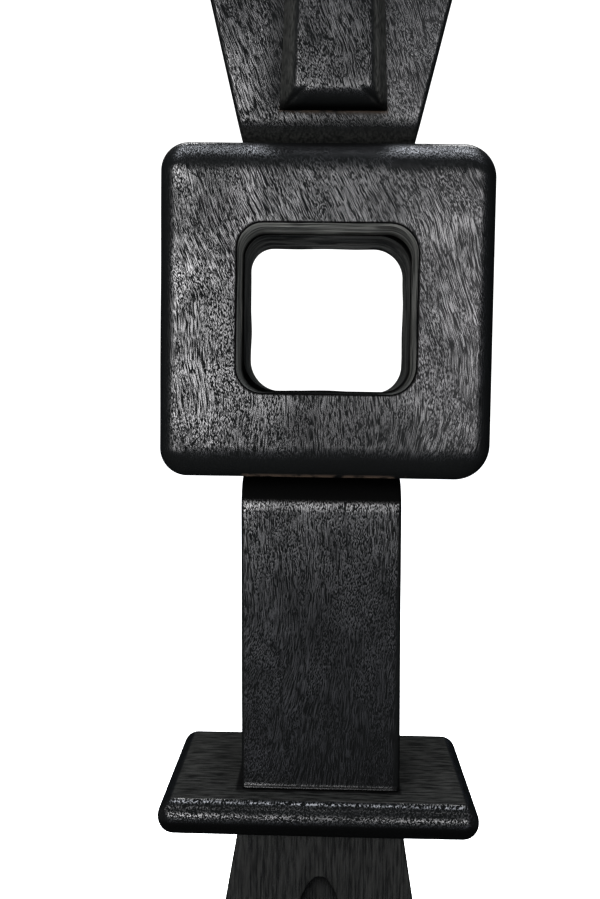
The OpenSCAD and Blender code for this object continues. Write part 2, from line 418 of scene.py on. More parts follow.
def black_wood(name, seed=0.0, contrast=1.0, smooth_tone_and_light=1.0, tool_marks=TOOL_MARKS):
    """Black-stained hardwood: raised fibres with a worn wax film, between dull black pores.

    Each mesh carries attributes that steer it: `fibre`, the place across, through and along the
    fibres in millimetres; `long`, 0 for cells and 1 for lines; `wax_and_light`, how much wax there
    is, lowered where shade is painted in and raised where light is; `fill`, how far it fills the
    pores; `dull`, 1 where it is smooth and unwaxed; `pooled`, 1 where the stain dried
    thick and where black is painted in as shade; and `bare`, 1 where the stain did not take. Smooth
    places have the grey and tool marks given, and that grey is raised on some pieces as painted light."""
    material = bpy.data.materials.new(name)
    nodes = Nodes(material)
    shift = (seed, 2.3 * seed, 3.1 * seed)
    point = nodes.scaled(nodes.add("TexCoord").outputs["Object"], 1 / MM)
    point = nodes.vector("ADD", point, shift)

    # The fibres wander a little from the way they are steered
    drift = nodes.noise(point, 0.10, 1.0).outputs["Color"]
    wander = nodes.vector("SUBTRACT", drift, (0.5, 0.5, 0.5))
    fibres = nodes.vector("ADD", nodes.attribute("fibre", "Vector"), shift)
    fibres = nodes.vector("ADD", fibres, nodes.scaled(wander, FIBRE_WANDER))

    # Raised fibres: cells in some places, drawn-out lines in others, with ribbons of both
    cells = nodes.noise(nodes.stretched(fibres, CELLS), 1.0, 0.0).outputs["Fac"]
    lines = nodes.noise(nodes.stretched(fibres, LINES), 1.0, 0.0).outputs["Fac"]
    ribbon = nodes.noise(nodes.stretched(fibres, RIBBONS), 1.0, 1.0).outputs["Fac"]
    more_or_less = nodes.ramp(ribbon, 0.35, 0.65, -0.4, 0.4)
    drawn_out = nodes.math("ADD", nodes.attribute("long"), more_or_less, clamp=True)
    ridge = nodes.ramp(nodes.blend(drawn_out, cells, lines), 0.42, 0.66)

    # Long dark vessels, here and there
    vessel = nodes.noise(nodes.stretched(fibres, VESSELS), 1.0, 0.0).outputs["Fac"]
    ridge = nodes.math("MULTIPLY", ridge, nodes.ramp(vessel, 0.26, 0.36, 0.45, 1.0))

    # The wax is rubbed away in clouds
    rubbed = nodes.ramp(nodes.noise(point, 0.05, 2.0).outputs["Fac"], 0.32, 0.64, 0.62, 1.0)
    dull = nodes.attribute("dull")
    filled = 0.62
    film = nodes.blend(nodes.attribute("fill"), ridge, filled)
    # The wax left also carries painted shade, where it is lowered, and painted light, where it is
    # raised
    for share in (rubbed, contrast, nodes.attribute("wax_and_light"), nodes.math("SUBTRACT", 1.0, dull)):
        film = nodes.math("MULTIPLY", film, share)

    # The stain, over the grain and over the smooth places, brown where it did not take, and black where
    # it dried thick and where shade is painted in
    stain = nodes.mix(film, PORE_BLACK, WAXED_BLACK)
    tooled = nodes.noise(nodes.stretched(point, tool_marks), 1.0, 3.0, 0.6).outputs["Fac"]
    smooth_dark = [smooth_tone_and_light * part for part in SMOOTH_DARK] + [1]
    smooth_light = [smooth_tone_and_light * part for part in SMOOTH_LIGHT] + [1]
    stain = nodes.mix(dull, stain, nodes.mix(nodes.ramp(tooled, 0.32, 0.68), smooth_dark, smooth_light))
    worn = nodes.ramp(nodes.noise(point, 0.16, 2.0).outputs["Fac"], 0.36, 0.56)
    worn_bare = nodes.math("MULTIPLY", nodes.attribute("bare"), worn)
    stain = nodes.mix(worn_bare, stain, BARE_BROWN)
    stain = nodes.mix(nodes.attribute("pooled"), stain, POOLED_AND_SHADE_BLACK)

    bump = nodes.add("Bump")
    bump.inputs["Strength"].default_value = 1.0
    bump.inputs["Distance"].default_value = 0.026 * MM
    nodes.link(ridge, bump.inputs["Height"])

    shader = nodes.add("BsdfPrincipled")
    shader.inputs["Specular IOR Level"].default_value = 0.03
    shader.inputs["Coat Roughness"].default_value = 0.25
    shader.inputs["Coat IOR"].default_value = 1.62
    nodes.link(stain, shader.inputs["Base Color"])
    nodes.link(nodes.ramp(film, 0.0, 1.0, 0.75, 0.5), shader.inputs["Roughness"])
    nodes.link(film, shader.inputs["Coat Weight"])
    nodes.link(bump.outputs["Normal"], shader.inputs["Normal"])
    nodes.link(bump.outputs["Normal"], shader.inputs["Coat Normal"])
    output = nodes.add("OutputMaterial")
    nodes.link(shader.outputs[0], output.inputs["Surface"])
    return material


def uneven_surface(nodes, colour, height, depth, roughness):
    """Ends a material that has one colour, one roughness and one bump."""
    bump = nodes.add("Bump")
    bump.inputs["Distance"].default_value = depth
    nodes.link(height, bump.inputs["Height"])
    shader = nodes.add("BsdfPrincipled")
    nodes.link(colour, shader.inputs["Base Color"])
    nodes.link(roughness, shader.inputs["Roughness"])
    nodes.link(bump.outputs["Normal"], shader.inputs["Normal"])
    nodes.link(shader.outputs[0], nodes.add("OutputMaterial").inputs["Surface"])


DOWEL_GRAIN = (0.8, 0.8, 16.0)
DOWEL_BROWN = (0.30, 0.17, 0.08, 1)
DOWEL_PALE = (0.52, 0.34, 0.19, 1)
FELT_BLACK = (0.012, 0.011, 0.010, 1)
FELT_GREY = (0.055, 0.052, 0.048, 1)


def plain_wood():
    """Unfinished dowel stock: pale, with fine straight grain."""
    material = bpy.data.materials.new("bare_wood")
    nodes = Nodes(material)
    point = nodes.scaled(nodes.add("TexCoord").outputs["Object"], 1 / MM)
    grain = nodes.noise(nodes.stretched(point, DOWEL_GRAIN), 1.0, 2.0).outputs["Fac"]
    colour = nodes.mix(grain, DOWEL_BROWN, DOWEL_PALE)
    uneven_surface(nodes, colour, grain, 0.05 * MM, nodes.ramp(grain, 0.3, 0.7, 0.75, 0.6))
    return material


def pressed_felt():
    """Dark felt: matt, with a tangle of short fibres."""
    material = bpy.data.materials.new("felt")
    nodes = Nodes(material)
    point = nodes.scaled(nodes.add("TexCoord").outputs["Object"], 1 / MM)
    tangle = nodes.noise(point, 2.2, 3.0, 0.7).outputs["Fac"]
    colour = nodes.mix(tangle, FELT_BLACK, FELT_GREY)
    uneven_surface(nodes, colour, tangle, 0.2 * MM, nodes.ramp(tangle, 0.3, 0.7, 1.0, 0.85))
    return material


# ---------------------------------------------------------------- ring


class Outline:
    """A rectangle with round corners in the front plane: its points and outward normals, in step
    with any other outline made with the same counts."""

    SIDE = 118  # points along each side
    CORNER = 20  # points round each corner

    def __init__(self, x0, x1, z0, z1, radii):
        points = []
        normals = []
        spots = ((x1, z1, 1, 1, 0), (x0, z1, -1, 1, 1), (x0, z0, -1, -1, 2), (x1, z0, 1, -1, 3))
        arcs = []
        for (x, z, sx, sz, turn), radius in zip(spots, radii):
            centre = np.array([x - sx * radius, z - sz * radius])
            angles = (turn + np.linspace(0, 1, self.CORNER)) * math.pi / 2
            spokes = np.stack([np.cos(angles), np.sin(angles)], axis=1)
            arcs.append((centre + radius * spokes, spokes))
        for number, (arc, spokes) in enumerate(arcs):
            following = arcs[(number + 1) % len(arcs)][0]
            points.append(arc)
            normals.append(spokes)
            steps = np.linspace(0, 1, self.SIDE + 2)[1:-1, None]
            points.append(arc[-1] * (1 - steps) + following[0] * steps)
            normals.append(np.repeat(spokes[-1:], self.SIDE, axis=0))
        self.points = np.concatenate(points)
        self.normals = np.concatenate(normals)


# Corner radii, from the upper right and round by the left
OUTER_RADII = (16 * MM, 13.5 * MM, 13.5 * MM, 17 * MM)
WINDOW_RADII = (13 * MM, 11.5 * MM, 12 * MM, 12.5 * MM)
BACK_WINDOW_RADII = (16 * MM, 12 * MM, 16 * MM, 13 * MM)
WINDOW_W = 85 * MM
WINDOW_H = 79 * MM
WINDOW_SHIFT = 0.6 * MM
SILL_H = 41.5 * MM
SILL_Z = FRONT_LO.z + SILL_H
BACK_OVERLAP = 0.5 * MM  # how far the back board comes in past the front board's window
GROOVE = 0.4 * MM
WINDOW_EDGE_R = 1.2 * MM
BACK_WINDOW_EDGE_R = 2.2 * MM

# The outer edge: its depth, and its reach over the face at the sides and at the top and bottom
EDGE_DEPTH = 8.5 * MM
EDGE_REACH_SIDE = 9.5 * MM
EDGE_REACH_TOP = 15 * MM

# Rows of points over a board's shown face, edge, side, joint and window wall
FACE_ROWS = 36
EDGE_ROWS = 13
SIDE_ROWS = 24
JOINT_ROWS = 5
WALL_ROWS = 34


def ring_board(outer, inner, face_y, joint_y, window_r):
    """One board of the ring, as a closed band swept round the two outlines.

    The profile goes over the shown face, round the outer edge, along the side, over the glued
    face and back through the window. The outer edge is a quarter of an ellipse."""
    depth = abs(joint_y - face_y)
    into = 1 if joint_y > face_y else -1
    reach = EDGE_REACH_SIDE + (EDGE_REACH_TOP - EDGE_REACH_SIDE) * outer.normals[:, 1:] ** 2
    quarter = np.linspace(0, math.pi / 2, EDGE_ROWS)[1:-1]
    rows = []  # share of the inner outline, share of the edge's reach, insets, depth
    for share in np.linspace(1, 0, FACE_ROWS):
        rows.append((share, 1, 0, window_r, 0))
    for a in quarter:
        rows.append((0, 1 - math.sin(a), 0, 0, EDGE_DEPTH * (1 - math.cos(a))))
    for d in np.linspace(EDGE_DEPTH, depth - GROOVE, SIDE_ROWS):
        rows.append((0, 0, 0, 0, d))
    rows.append((0, 0, 0.3 * GROOVE, 0, depth - GROOVE / 2))
    for share in np.linspace(0, 1, JOINT_ROWS):
        rows.append((share, 0, 0.3 * GROOVE, 2 * GROOVE, depth))
    rows.append((1, 0, 0, 2 * GROOVE, depth - GROOVE / 2))
    for d in np.linspace(depth - GROOVE, window_r, WALL_ROWS):
        rows.append((1, 0, 0, 0, d))
    for a in quarter[::-3]:
        rows.append((1, 0, 0, window_r * (1 - math.sin(a)), window_r * (1 - math.cos(a))))
    count = len(outer.points)
    grid = np.empty((len(rows), count, 3))
    for number, (share, reach_share, outer_inset, inner_inset, d) in enumerate(rows):
        flat = (1 - share) * (outer.points - outer.normals * (reach * reach_share + outer_inset))
        flat += share * (inner.points + inner.normals * inner_inset)
        grid[number, :, 0] = flat[:, 0]
        grid[number, :, 1] = face_y + into * d
        grid[number, :, 2] = flat[:, 1]
    faces = []
    for r in range(len(rows)):
        below = (r + 1) % len(rows)
        for c in range(count):
            beside = (c + 1) % count
            quad = (r * count + c, r * count + beside, below * count + beside, below * count + c)
            faces.append(quad if into < 0 else quad[::-1])
    return mesh_from(grid.reshape(-1, 3), faces)


# Places on the ring: x, z, lean of the fibres, how drawn out they are, wax. The wax also paints
# part of the light: it is lowest in the middle of the lower bar and highest at the lower left
RING_LEANS = (
    (-72, 505, 10, 0.6, 0.8), (-72, 450, 12, 0.2, 0.95), (-72, 385, 14, 0.3, 1.15),
    (-63, 490, 8, 1.0, 0.6), (-63, 440, 6, 1.0, 0.75), (-62, 395, 14, 1.0, 1.15),
    (-50, 500, 4, 0.2, 0.65), (-50, 440, 0, 0.0, 0.8), (-50, 400, 8, 0.3, 1.05),
    (-34, 503, 36, 1.0, 0.8), (-32, 488, 30, 1.0, 0.85), (-12, 497, 26, 0.6, 0.85),
    (12, 497, 34, 1.0, 0.85), (40, 497, 30, 0.9, 0.9), (60, 500, 22, 0.5, 0.9),
    (72, 470, 2, 1.0, 0.9), (55, 460, 26, 0.9, 0.95), (55, 430, 28, 0.8, 0.95),
    (72, 420, 4, 1.0, 1.0), (57, 405, 6, 0.5, 1.0), (57, 375, -18, 0.8, 0.95),
    (36, 375, -24, 0.9, 0.85), (18, 382, 16, 1.0, 0.6), (-5, 382, 18, 0.9, 0.64),
    (-25, 380, -20, 0.6, 0.9), (-36, 388, -28, 0.1, 0.95), (-55, 375, 14, 0.6, 1.0),
)


def window_outline(grow, radii):
    half = WINDOW_W / 2 + grow
    low = SILL_Z - grow
    return Outline(-half + WINDOW_SHIFT, half, low, low + WINDOW_H + 2 * grow, radii)


def in_window(mesh):
    """Which points lie on the window's walls."""
    points = get_points(mesh)
    margin = 1.5 * MM
    inside = (abs(points[:, 0]) < WINDOW_W / 2 + margin) & (abs(get_normals(mesh)[:, 1]) < 0.6)
    inside &= points[:, 2] > SILL_Z - margin
    inside &= points[:, 2] < SILL_Z + WINDOW_H + margin
    return inside


def wavy_walls(mesh, seed):
    """The window was cut by hand: its walls carry shallow scoops that follow the cut."""
    scoop_depth = 0.6 * MM
    scoop_size = 5 * MM
    wave_size = 14 * MM
    points = get_points(mesh)
    normals = get_normals(mesh)
    stretched = points * np.array([0.18, 1, 0.18])
    scoops = soft_noise(stretched, scoop_size, seed) + 0.6 * soft_noise(points, wave_size, seed + 3)
    depth = np.where(in_window(mesh), scoop_depth, 0)
    set_points(mesh, points + normals * (depth * (scoops - 1))[:, None])


def ring_missed(mesh):
    """Painted shade on the ring, as less wax and darker colour: its top edge below the head, which
    the head shades; a band where that edge begins and a line at its brink, which the lamps leave
    dark; and the turn under its foot."""
    points = get_points(mesh)
    up = get_normals(mesh)[:, 2]
    middle = 1 - smooth_step(abs(points[:, 0]), 20 * MM, 34 * MM)
    below_head = 0.75 * middle * smooth_step(up, 0.1, 0.3)
    crest = smooth_step(up, 0.0, 0.1) * (1 - smooth_step(up, 0.22, 0.36))
    crest *= 0.72 * (1 - 0.4 * middle)
    brink = 0.7 * smooth_step(up, 0.86, 0.95) * (1 - smooth_step(up, 0.985, 0.998))
    foot = 0.9 * (1 - smooth_step(points[:, 2], FRONT_LO.z + 8 * MM, FRONT_LO.z + 14 * MM))
    return np.maximum.reduce([below_head, crest, brink, foot])


def round_mouth(points):
    """A fine line round the window's rim, on the ring's front."""
    corner = 12 * MM
    beyond_x = abs(points[:, 0] - WINDOW_SHIFT / 2) - (WINDOW_W - WINDOW_SHIFT) / 2 + corner
    beyond_z = abs(points[:, 2] - SILL_Z - WINDOW_H / 2) - WINDOW_H / 2 + corner
    away = np.hypot(np.maximum(beyond_x, 0), np.maximum(beyond_z, 0)) - corner
    line = smooth_step(away, -1.0 * MM, -0.6 * MM) * (1 - smooth_step(away, 1.3 * MM, 1.8 * MM))
    return line * (points[:, 1] < FRONT_LO.y + 2 * MM)


def ring_pooled(mesh):
    """The stain lies thick in the glue line and in patches on the window's walls, and a fine line
    round the window's mouth is made dark. Painted shade: black under the head, which shades the
    ring's top edge there, and a darker right wall, with the patches fewest on the lit left wall."""
    points = get_points(mesh)
    normals = get_normals(mesh)
    glue_line = 1 - smooth_step(abs(points[:, 1] - FRONT_HI.y), 0.3 * MM, 0.9 * MM)
    under_head = 0.9 * (1 - smooth_step(abs(points[:, 0]), 24 * MM, 36 * MM))
    under_head *= smooth_step(normals[:, 2], 0.32, 0.46)
    right_wall = 0.3 * smooth_step(-normals[:, 0], 0.3, 0.7)
    blotches = soft_noise(points * np.array([0.3, 1, 0.3]), 4.5 * MM, seed=77)
    patches = 0.6 * smooth_step(blotches, 0.05, 0.45)
    patches *= 1 - 0.7 * smooth_step(normals[:, 0], 0.3, 0.7)
    walls = in_window(mesh) * np.maximum(right_wall, patches)
    return np.maximum.reduce([glue_line, round_mouth(points), under_head, walls])


def above_post(mesh):
    """A hair of bare wood along the ring's lower edge, as wide as the post below it."""
    points = get_points(mesh)
    edge = 1 - smooth_step(points[:, 2], FRONT_LO.z + 0.9 * MM, FRONT_LO.z + 1.9 * MM)
    return edge * (abs(points[:, 0]) < POST_HI.x)


def finish_ring_board(mesh, name, seed, wall_light):
    """Works a board over and stains it; `wall_light` is how light its window wall is painted: painted
    light, more on the front board than on the back one.
    """
    wavy_walls(mesh, seed + 5)
    hand_finish(mesh, seed)
    pooled = ring_pooled(mesh)
    steer_grain(mesh, RING_LEANS, reach=16, seed=seed, dull=in_window(mesh).astype(float),
                pooled=pooled, missed=np.maximum(ring_missed(mesh), pooled), bare=above_post(mesh),
                fill=0.16 * smooth_step(get_points(mesh)[:, 0], -30 * MM, 45 * MM))
    wood = black_wood("black_wood_" + name, seed=3.0, smooth_tone_and_light=wall_light, tool_marks=(40.0, 2.6, 40.0))
    add_piece(name + "_carved", mesh, wood, "black_wood", name)


def make_ring():
    outer = Outline(FRONT_LO.x, FRONT_HI.x, FRONT_LO.z, FRONT_HI.z, OUTER_RADII)
    window = window_outline(0, WINDOW_RADII)
    back_window = window_outline(-BACK_OVERLAP, BACK_WINDOW_RADII)
    front = ring_board(outer, window, FRONT_LO.y, FRONT_HI.y, WINDOW_EDGE_R)
    back = ring_board(outer, back_window, BACK_HI.y, BACK_LO.y, BACK_WINDOW_EDGE_R)
    finish_ring_board(front, "ring_front_board", seed=11, wall_light=6.6)
    finish_ring_board(back, "ring_back_board", seed=21, wall_light=2.8)


# ---------------------------------------------------------------- head and nose

NECK_W = 83.4 * MM
HEAD_EDGE_R = 16 * MM
HEAD_SIDE_R = 2.2 * MM

# Places on the head: x, z, lean of the fibres, how drawn out they are, wax
HEAD_LEANS = (
    (-55, 600, 16, 0.9, 1.15), (-42, 550, 18, 0.9, 1.05), (-38, 595, 30, 0.8, 0.85),
    (-32, 545, 30, 0.7, 0.7), (0, 530, 38, 0.7, 0.5), (36, 560, 14, 0.6, 1.02),
    (45, 600, 16, 0.8, 1.12), (60, 650, 10, 1.0, 1.1), (-60, 650, 14, 0.9, 1.0),
    (-20, 660, 25, 0.3, 1.0), (25, 660, -8, 0.5, 1.0),
)


def nose_shadow_strip(points):
    """The strip of the face along the nose's left side, where the nose's shadow is painted in as less
    wax.
    """
    from_nose = NOSE_LO.x - points[:, 0]
    strip = smooth_step(from_nose, -6 * MM, -1 * MM) * (1 - smooth_step(from_nose, 1 * MM, 9 * MM))
    strip *= smooth_step(points[:, 2], NOSE_LO.z - 4 * MM, NOSE_LO.z + 6 * MM)
    strip *= 1 - smooth_step(points[:, 2], NOSE_HI.z - 6 * MM, NOSE_HI.z + 4 * MM)
    return strip * (points[:, 1] < HEAD_LO.y + 2 * MM)


def below_nose(points):
    """A hair of bare wood on the face, along the nose's foot."""
    line = 0.7 * smooth_step(points[:, 2], NOSE_FOOT - 1.2 * MM, NOSE_FOOT - 0.5 * MM)
    line *= points[:, 2] < NOSE_FOOT + 3 * MM
    line *= abs(points[:, 0] - NOSE_MID_X) < NOSE_HI.x - NOSE_MID_X
    return line * (points[:, 1] < HEAD_LO.y + 2 * MM)


def make_head():
    made = wedge(NECK_W, HEAD_HI.x - HEAD_LO.x, HEAD_LO, HEAD_HI)
    round_edges(made, lambda way, mid: abs(way.x) > 0.9, HEAD_EDGE_R)
    round_sides(made, HEAD_SIDE_R)
    eyes = [eye_cutter(side) for side in (-1, 1)]
    mesh = even_mesh(as_object(made), VOXEL, eyes)
    hand_finish(mesh, seed=31)
    points = get_points(mesh)
    bare = below_nose(points)
    # Painted light: the head's underside is given the lighter smooth colour, as if lit from below
    steer_grain(mesh, HEAD_LEANS, reach=16, seed=31, bare=bare,
                missed=np.maximum(0.6 * nose_shadow_strip(points), 0.9 * bare),
                dull=0.3 * smooth_step(-get_normals(mesh)[:, 2], 0.30, 0.65),
                fill=0.2 * smooth_step(points[:, 0], -20 * MM, 30 * MM))
    wood = black_wood("black_wood_head", seed=31.0, smooth_tone_and_light=1.8, tool_marks=(1.0, 1.0, 3.5))
    add_piece("head_block_carved", mesh, wood, "black_wood", "head_block")


EYE_X = 43.7 * MM
EYE_SIZE = (13 * MM, 3 * MM, 2.4 * MM)
EYE_DROOP = 2.0 * MM
EYE_HEIGHT = 0.6  # of the head's height


def eye_cutter(side):
    """A lens that leaves a closed, slightly drooping eye in the face."""
    middle = Vector((side * EYE_X, HEAD_LO.y, HEAD_LO.z + EYE_HEIGHT * (HEAD_HI.z - HEAD_LO.z)))
    made = bmesh.new()
    bmesh.ops.create_uvsphere(made, u_segments=48, v_segments=24, radius=1.0)
    for vertex in made.verts:
        x, y, z = vertex.co
        droop = EYE_DROOP * (1 - x * x)
        vertex.co = (x * EYE_SIZE[0], y * EYE_SIZE[1], z * EYE_SIZE[2] - droop)
    bmesh.ops.transform(made, matrix=Matrix.Translation(middle), verts=made.verts)
    return as_object(made)


# Half widths of the nose at its foot and at its top, against the head and in front
NOSE_BACK_HALVES = (26.5 * MM, 23 * MM)
NOSE_FRONT_HALVES = (20.5 * MM, 18.5 * MM)
NOSE_TIP_R = 9.5 * MM
NOSE_FRONT_R = 4 * MM
NOSE_BACK_CORNER_R = 0.5 * MM
NOSE_FRONT_CORNER_R = 11 * MM
NOSE_VOXEL = 0.9 * MM

# Places on the nose: x, z, lean of the fibres, how drawn out they are, wax
NOSE_LEANS = (
    (-14, 560, 8, 0.1, 0.9), (2, 570, 28, 0.8, 0.9), (18, 560, 18, 0.6, 0.8), (2, 610, 24, 0.7, 0.7),
)


def nose_wedge():
    """The nose's plain block, whose sides slope in towards the front, in a new bmesh."""
    made = bmesh.new()
    corners = []
    for y, (foot_half, top_half) in ((NOSE_HI.y, NOSE_BACK_HALVES), (NOSE_LO.y, NOSE_FRONT_HALVES)):
        for x in (-foot_half, foot_half):
            corners.append(made.verts.new((NOSE_MID_X + x, y, NOSE_FOOT)))
        for x in (top_half, -top_half):
            corners.append(made.verts.new((NOSE_MID_X + x, y, NOSE_HI.z)))
    for face in ((0, 1, 2, 3), (7, 6, 5, 4), (0, 4, 5, 1), (1, 5, 6, 2), (2, 6, 7, 3), (3, 7, 4, 0)):
        made.faces.new([corners[i] for i in face])
    bmesh.ops.recalc_face_normals(made, faces=made.faces)
    return made


def round_nose(mesh):
    """Rounds the corners between the nose's sides and its underside, more and more to the front."""
    points = get_points(mesh)
    ahead = (NOSE_HI.y - points[:, 1]) / NOSE_DEPTH
    radius = NOSE_BACK_CORNER_R + (NOSE_FRONT_CORNER_R - NOSE_BACK_CORNER_R) * ahead
    half = NOSE_BACK_HALVES[0] + (NOSE_FRONT_HALVES[0] - NOSE_BACK_HALVES[0]) * ahead
    from_middle = points[:, 0] - NOSE_MID_X
    u = (abs(from_middle) - (half - radius)) / radius
    v = (NOSE_FOOT + radius - points[:, 2]) / radius
    in_corner = (u > 0) & (v > 0)
    squeeze = np.maximum(u, v) / np.maximum(np.hypot(u, v), 0.001)
    rounded_x = NOSE_MID_X + np.sign(from_middle) * (half - radius + u * squeeze * radius)
    rounded_z = NOSE_FOOT + radius - v * squeeze * radius
    points[:, 0] = np.where(in_corner, rounded_x, points[:, 0])
    points[:, 2] = np.where(in_corner, rounded_z, points[:, 2])
    set_points(mesh, points)


def make_nose():
    """A block with a full turn under its tip and smooth, unwaxed side walls."""
    made = nose_wedge()
    low_front = NOSE_FOOT + NOSE_DEPTH
    round_edges(made, lambda way, mid: mid.y < NOSE_LO.y + 0.1 * MM and mid.z < low_front, NOSE_TIP_R)
    round_edges(made, lambda way, mid: mid.y < NOSE_LO.y + 6 * MM and abs(way.x) < 0.9, NOSE_FRONT_R, 5)
    mesh = even_mesh(as_object(made), NOSE_VOXEL)
    round_nose(mesh)
    hand_finish(mesh, seed=41, depth=0.15 * MM)
    points = get_points(mesh)
    # Painted shade: the nose's lower part by its foot, back from its front, is stained black
    low = 1 - smooth_step(points[:, 2], NOSE_FOOT + 1.5 * MM, NOSE_FOOT + 8 * MM)
    low *= smooth_step(points[:, 1], NOSE_LO.y + 3 * MM, NOSE_LO.y + 9 * MM)
    sideways = get_normals(mesh)[:, 0]
    walls = 0.7 * smooth_step(-sideways, 0.35, 0.8) + smooth_step(sideways, 0.35, 0.8)
    steer_grain(mesh, NOSE_LEANS, reach=12, seed=41, dull=walls, pooled=0.85 * low)
    wood = black_wood("black_wood_nose", seed=47.0, contrast=0.95, smooth_tone_and_light=1.6,
                      tool_marks=(0.6, 0.6, 3.0))
    add_piece("nose_block_carved", mesh, wood, "black_wood", "nose_block")


# ---------------------------------------------------------------- waist, hips and legs

SHOULDER_R = 17 * MM
POST_SIDE_R = 1.2 * MM
POST_WIDER = 0.7 * MM  # than its box
POST_LEAN = math.radians(0.7)
POST_PIVOT = POST_LO.z + 0.42 * (POST_HI.z - POST_LO.z)  # the height it leans about
CURL_H = 1.6 * MM
CURL_OUT = 1.5 * MM

# Places on the post: x, z, lean of the fibres, how drawn out they are, wax. The wax also paints
# part of the light: it is high at the top and lower towards the foot, except at the lower left
POST_LEANS = (
    (-35, 320, 12, 0.6, 1.35), (-35, 260, -24, 0.1, 1.3), (-12, 335, 2, 0.3, 1.35),
    (15, 330, -4, 0.5, 1.25), (30, 290, -8, 0.2, 1.15), (0, 270, 0, 0.6, 1.15),
    (0, 220, 2, 1.0, 0.85), (-34, 215, -24, 0.2, 1.3), (34, 220, -4, 0.8, 0.8),
)


def set_post(mesh):
    """Leans the post a little to one side, and lets its last shaving curl out at the foot."""
    points = get_points(mesh)
    points[:, 0] -= math.tan(POST_LEAN) * (points[:, 2] - POST_PIVOT)
    curl = smooth_step(POST_LO.z + 1.3 * CURL_H - points[:, 2], 0, 1.3 * CURL_H)
    points[:, 1] *= 1 + curl * CURL_OUT / POST_HI.y
    set_points(mesh, points)


def make_post():
    width = POST_HI.x - POST_LO.x + POST_WIDER
    made = wedge(width, width, POST_LO, POST_HI)
    round_edges(made, lambda way, mid: abs(way.x) > 0.9 and mid.z > POST_HI.z - MM, SHOULDER_R)
    round_sides(made, POST_SIDE_R)
    mesh = even_mesh(as_object(made), VOXEL)
    hand_finish(mesh, seed=51)
    set_post(mesh)
    points = get_points(mesh)
    # Painted shadow: the post's top rounding, under the ring's overhang, is made black and unwaxed
    shoulder_shadow = smooth_step(get_normals(mesh)[:, 2], 0.12, 0.30)
    curled = 1 - smooth_step(points[:, 2], POST_LO.z + CURL_H, POST_LO.z + 1.8 * CURL_H)
    right_edge = smooth_step(points[:, 0], 36.6 * MM, 38.0 * MM)
    steer_grain(mesh, POST_LEANS, reach=18, seed=51, missed=np.maximum(shoulder_shadow, 0.9 * right_edge),
                pooled=0.9 * shoulder_shadow, fill=0.6 * curled)
    wood = black_wood("black_wood_post", seed=61.0, smooth_tone_and_light=6.0)
    add_piece("waist_post_carved", mesh, wood, "black_wood", "waist_post")


PLATE_R = 9.0 * MM
PLATE_CORNER_R = 7.5 * MM
PLATE_WIDER = 0.4 * MM  # than its box
PLATE_SHIFT = -0.3 * MM
PLATE_MIDDLE = 30 * MM  # from here out, the front and back are reshaped

# The front and back edges are fuller than the sides: distances in from them are squeezed
FROM_EDGE = (0, 0.3 * MM, 1.7 * MM, 4.8 * MM, PLATE_R, 30 * MM)
TO_FRONT = (0, 0.6 * MM, 2.3 * MM, 4.2 * MM, 7.0 * MM, 30 * MM)
TO_BACK = (0, 0.1 * MM, 0.6 * MM, 1.7 * MM, 0.35 * PLATE_R, 30 * MM)

# Places on the plate: x, y, lean of the fibres, how drawn out they are, wax. The wax also paints
# part of the light: it is highest at the left end
PLATE_LEANS = (
    (-70, 0, 0, 0.0, 1.8), (-40, 0, 0, 0.0, 1.3), (0, 0, 0, 0.0, 1.0), (60, 0, 0, 0.0, 1.2),
)


def fuller_edges(mesh):
    """Squeezes the plate's front and back edges, and sets the plate a little to the left."""
    points = get_points(mesh)
    y = points[:, 1]
    behind = PLATE_HI.y - np.interp(PLATE_HI.y - y, FROM_EDGE, TO_BACK)
    ahead = PLATE_LO.y + np.interp(y - PLATE_LO.y, FROM_EDGE, TO_FRONT)
    points[:, 1] = np.select([y > PLATE_MIDDLE, y < -PLATE_MIDDLE], [behind, ahead], y)
    points[:, 0] += PLATE_SHIFT
    set_points(mesh, points)


def make_plate():
    """A board with a full round edge, dull on its top, with two lines of wax along its front; the band
    between them and the underside get less wax and a darker colour as painted shade.
    """
    width = PLATE_HI.x - PLATE_LO.x + PLATE_WIDER
    made = wedge(width, width, PLATE_LO, PLATE_HI)
    round_edges(made, lambda way, mid: abs(way.z) > 0.9, PLATE_CORNER_R)
    flat = {e for f in made.faces if abs(f.normal.z) > 0.9 for e in f.edges}
    bmesh.ops.bevel(made, geom=list(flat), offset=PLATE_R, segments=8, profile=0.5, affect="EDGES")
    mesh = even_mesh(as_object(made), VOXEL)
    hand_finish(mesh, seed=71, depth=0.16 * MM)
    fuller_edges(mesh)
    points = get_points(mesh)
    up = get_normals(mesh)[:, 2]
    top = smooth_step(abs(up), 0.93, 0.99)
    # Painted shadow: the plate's top is stained black where the post stands on it
    in_line = (abs(points[:, 0]) < POST_HI.x + 2 * MM) & (points[:, 2] > PLATE_HI.z - MM)
    post_contact_shadow = in_line * (1 - smooth_step(POST_LO.y - points[:, 1], 1.5 * MM, 4 * MM))
    # Painted shade: the underside, and the band between the front's two highlights
    underside = smooth_step(-up, -0.02, 0.22)
    between = smooth_step(up, 0.34, 0.44) * (1 - 0.6 * smooth_step(up, 0.62, 0.72))
    steer_grain(mesh, PLATE_LEANS, reach=20, seed=71, upright=1, coarse=2.2, dull=top,
                pooled=np.maximum(0.8 * post_contact_shadow, 0.7 * underside),
                missed=np.maximum(underside, 0.7 * between))
    wood = black_wood("black_wood_plate", seed=71.0, contrast=0.9, smooth_tone_and_light=1.3,
                      tool_marks=(12.0, 1.6, 12.0))
    add_piece("hip_plate_carved", mesh, wood, "black_wood", "hip_plate")


